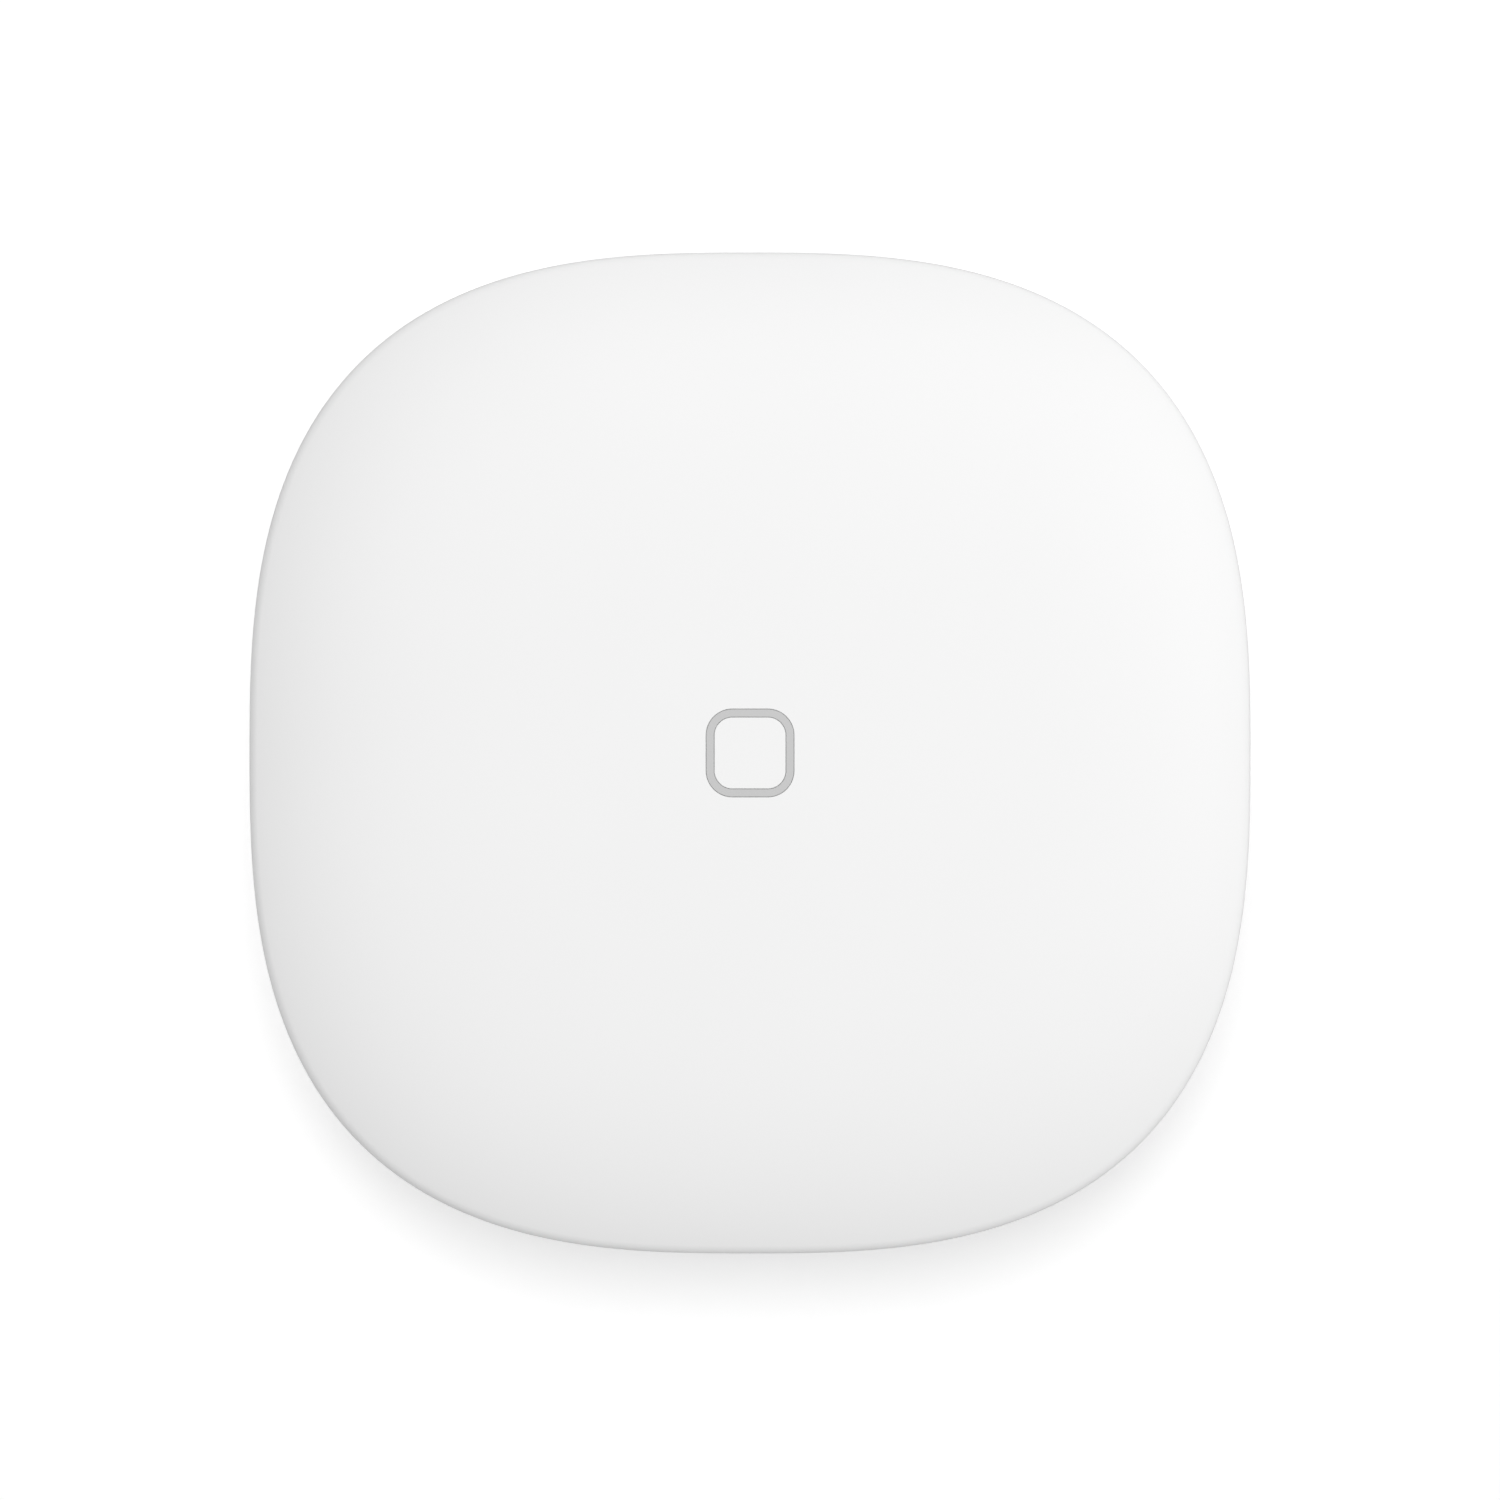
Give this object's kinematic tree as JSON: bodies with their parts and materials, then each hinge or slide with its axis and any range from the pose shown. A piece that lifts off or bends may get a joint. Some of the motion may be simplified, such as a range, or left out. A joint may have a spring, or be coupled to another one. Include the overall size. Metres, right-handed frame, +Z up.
{
  "type": "smart home hub",
  "caption": "Flat domed smart home hub with a rounded-square plan, a push pad inside a grey light ring, and network, power and reset ports at the back.",
  "frame": {"origin": "centre of the hub's plan on the surface it stands on", "axes": "+Z up through the push pad, +Y towards the ports at the rear"},
  "size_m": [0.127, 0.127, 0.03],
  "materials": {
    "shell_white": "satin white moulded plastic with a very fine texture",
    "pad_white": "satin white moulded plastic, as the cover",
    "guide_grey": "grey translucent acrylic, unlit",
    "panel_white": "matt white moulded plastic",
    "foot_rubber": "soft grey rubber",
    "label_silver": "blank satin silver film",
    "screw_steel": "zinc-plated steel",
    "black_plastic": "black moulded plastic",
    "board_green": "green solder mask over glass-fibre board",
    "shield_steel": "tin-plated steel",
    "contact_gold": "gold-plated",
    "chip_black": "moulded chip package",
    "spreader_aluminium": "bare satin aluminium",
    "thermal_grey": "soft filled silicone",
    "led_white": "white LED package with a yellow fill",
    "cable_black": "thin black coaxial lead",
    "antenna_white": "white board with copper tracks",
    "link_green": "green light pipe",
    "link_amber": "amber light pipe"
  },
  "bodies": {
    "housing": {"antenna_cable_left": "cable_black", "antenna_cable_right": "cable_black", "antenna_left": "antenna_white", "antenna_right": "antenna_white", "antenna_socket_left": "contact_gold", "antenna_socket_right": "contact_gold", "base_label": "label_silver", "board_screw_front": "screw_steel", "board_screw_left": "screw_steel", "board_screw_rear": "screw_steel", "board_screw_right": "screw_steel", "bottom_case": "shell_white", "button_spring": "screw_steel", "button_switch": "black_plastic", "capacitor": "shield_steel", "case_screw_1": "screw_steel", "case_screw_2": "screw_steel", "case_screw_3": "screw_steel", "case_screw_4": "screw_steel", "ethernet_body": "black_plastic", "ethernet_contacts": "contact_gold", "ethernet_shield": "shield_steel", "ethernet_transformer": "chip_black", "foot_front_left": "foot_rubber", "foot_front_right": "foot_rubber", "foot_rear_left": "foot_rubber", "foot_rear_right": "foot_rubber", "guide_retainer": "black_plastic", "heat_spreader": "spreader_aluminium", "light_guide": "guide_grey", "light_shroud": "black_plastic", "link_light_left": "link_green", "link_light_right": "link_amber", "main_board": "board_green", "memory_chip": "chip_black", "port_panel": "panel_white", "power_inductor": "chip_black", "power_jack": "black_plastic", "power_pin": "shield_steel", "processor": "chip_black", "processor_shield": "shield_steel", "radio_shield_front": "shield_steel", "radio_shield_rear": "shield_steel", "reset_switch": "black_plastic", "retainer_screw_left": "screw_steel", "retainer_screw_right": "screw_steel", "spreader_post_front": "contact_gold", "spreader_post_rear": "contact_gold", "spreader_screw_front": "screw_steel", "spreader_screw_rear": "screw_steel", "status_led_front": "led_white", "status_led_left": "led_white", "status_led_rear": "led_white", "status_led_right": "led_white", "thermal_pad": "thermal_grey", "top_cover": "shell_white"},
    "button": {"push_pad": "pad_white", "button_plunger": "panel_white"},
    "reset": {"reset_button": "panel_white", "reset_plunger": "chip_black"}
  },
  "joints": [
    {"name": "button_press", "type": "slide", "parent": "housing", "child": "button", "axis": [0, 0, -1], "range_m": [0, 0.0005], "stiffness_N_per_m": 3000, "springref_m": -0.0003, "deforming": ["button_spring"]},
    {"name": "reset_press", "type": "slide", "parent": "housing", "child": "reset", "axis": [0, -1, 0], "range_m": [0, 0.0004], "stiffness_N_per_m": 3000, "springref_m": -0.0002}
  ]
}
